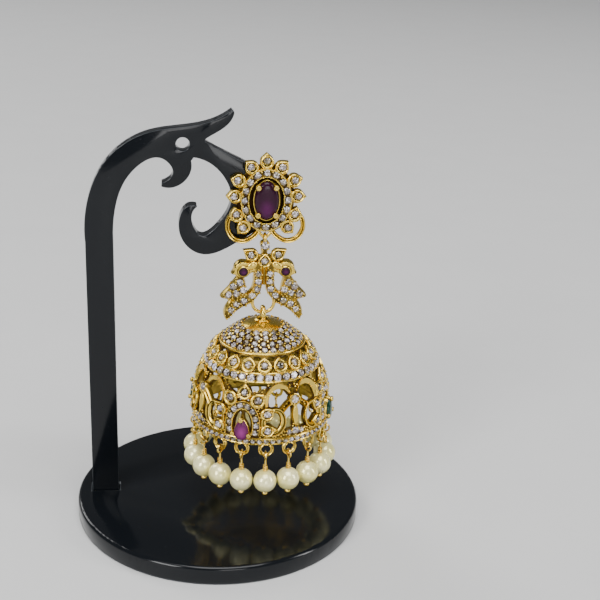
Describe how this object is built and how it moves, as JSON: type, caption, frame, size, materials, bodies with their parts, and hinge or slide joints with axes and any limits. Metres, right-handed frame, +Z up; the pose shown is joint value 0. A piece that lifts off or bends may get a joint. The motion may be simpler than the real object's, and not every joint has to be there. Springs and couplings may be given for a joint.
{
  "type": "jhumka earring on a display stand",
  "caption": "bell-shaped jhumka drop earring with an oval stud, a paired peacock link, a gem-set openwork dome and a fringe of pearl drops, hanging on a black acrylic stand",
  "frame": {"origin": "centre of the underside of the stand's round foot, on the surface that it stands on", "axes": "+X to the right as seen from in front of the earring, -Y the direction that the earring faces, +Z up"},
  "size_m": [0.062, 0.062, 0.0892],
  "materials": {
    "acrylic_foot": "polished black acrylic with a lighter cut edge",
    "acrylic_plate": "polished black acrylic with a lighter cut edge",
    "gold": "antique-matte yellow gold plating, darker in the recesses",
    "gold_wire": "brighter polished gold wire",
    "plain_gold": "plain polished gold",
    "ruby": "purplish red cut stone",
    "emerald": "green cut stone",
    "pearl": "cream pearl with a soft bright lustre"
  },
  "bodies": {
    "root": {"stand_foot": "acrylic_foot", "stand_plate": "acrylic_plate", "stud_frame": "gold", "stud_ruby": "ruby", "ear_clutch": "plain_gold"},
    "peacock_link": {"peacock_frame": "gold", "eye_ruby_left": "ruby", "eye_ruby_right": "ruby"},
    "bell": {"bell_shell": "gold", "pear_ruby_front": "ruby", "pear_emerald_right": "emerald", "pear_ruby_back": "ruby", "pear_emerald_left": "emerald", "pearl_01": "pearl", "pearl_02": "pearl", "pearl_03": "pearl", "pearl_04": "pearl", "pearl_05": "pearl", "pearl_06": "pearl", "pearl_07": "pearl", "pearl_08": "pearl", "pearl_09": "pearl", "pearl_10": "pearl", "pearl_11": "pearl", "pearl_12": "pearl", "pearl_13": "pearl", "pearl_14": "pearl", "pearl_15": "pearl", "pearl_16": "pearl", "pearl_17": "pearl", "pearl_18": "pearl", "pearl_pin_01": "gold_wire", "pearl_pin_02": "gold_wire", "pearl_pin_03": "gold_wire", "pearl_pin_04": "gold_wire", "pearl_pin_05": "gold_wire", "pearl_pin_06": "gold_wire", "pearl_pin_07": "gold_wire", "pearl_pin_08": "gold_wire", "pearl_pin_09": "gold_wire", "pearl_pin_10": "gold_wire", "pearl_pin_11": "gold_wire", "pearl_pin_12": "gold_wire", "pearl_pin_13": "gold_wire", "pearl_pin_14": "gold_wire", "pearl_pin_15": "gold_wire", "pearl_pin_16": "gold_wire", "pearl_pin_17": "gold_wire", "pearl_pin_18": "gold_wire"}
  },
  "joints": [
    {"name": "peacock", "type": "hinge", "parent": "root", "child": "peacock_link", "pos_m": [0.009, 0, 0.06295], "axis": [1, 0, 0], "range_deg": [-75, 50]},
    {"name": "bell_swing", "type": "hinge", "parent": "peacock_link", "child": "bell", "pos_m": [0.009, 0, 0.04636], "axis": [1, 0, 0], "range_deg": [-75, 75]}
  ]
}
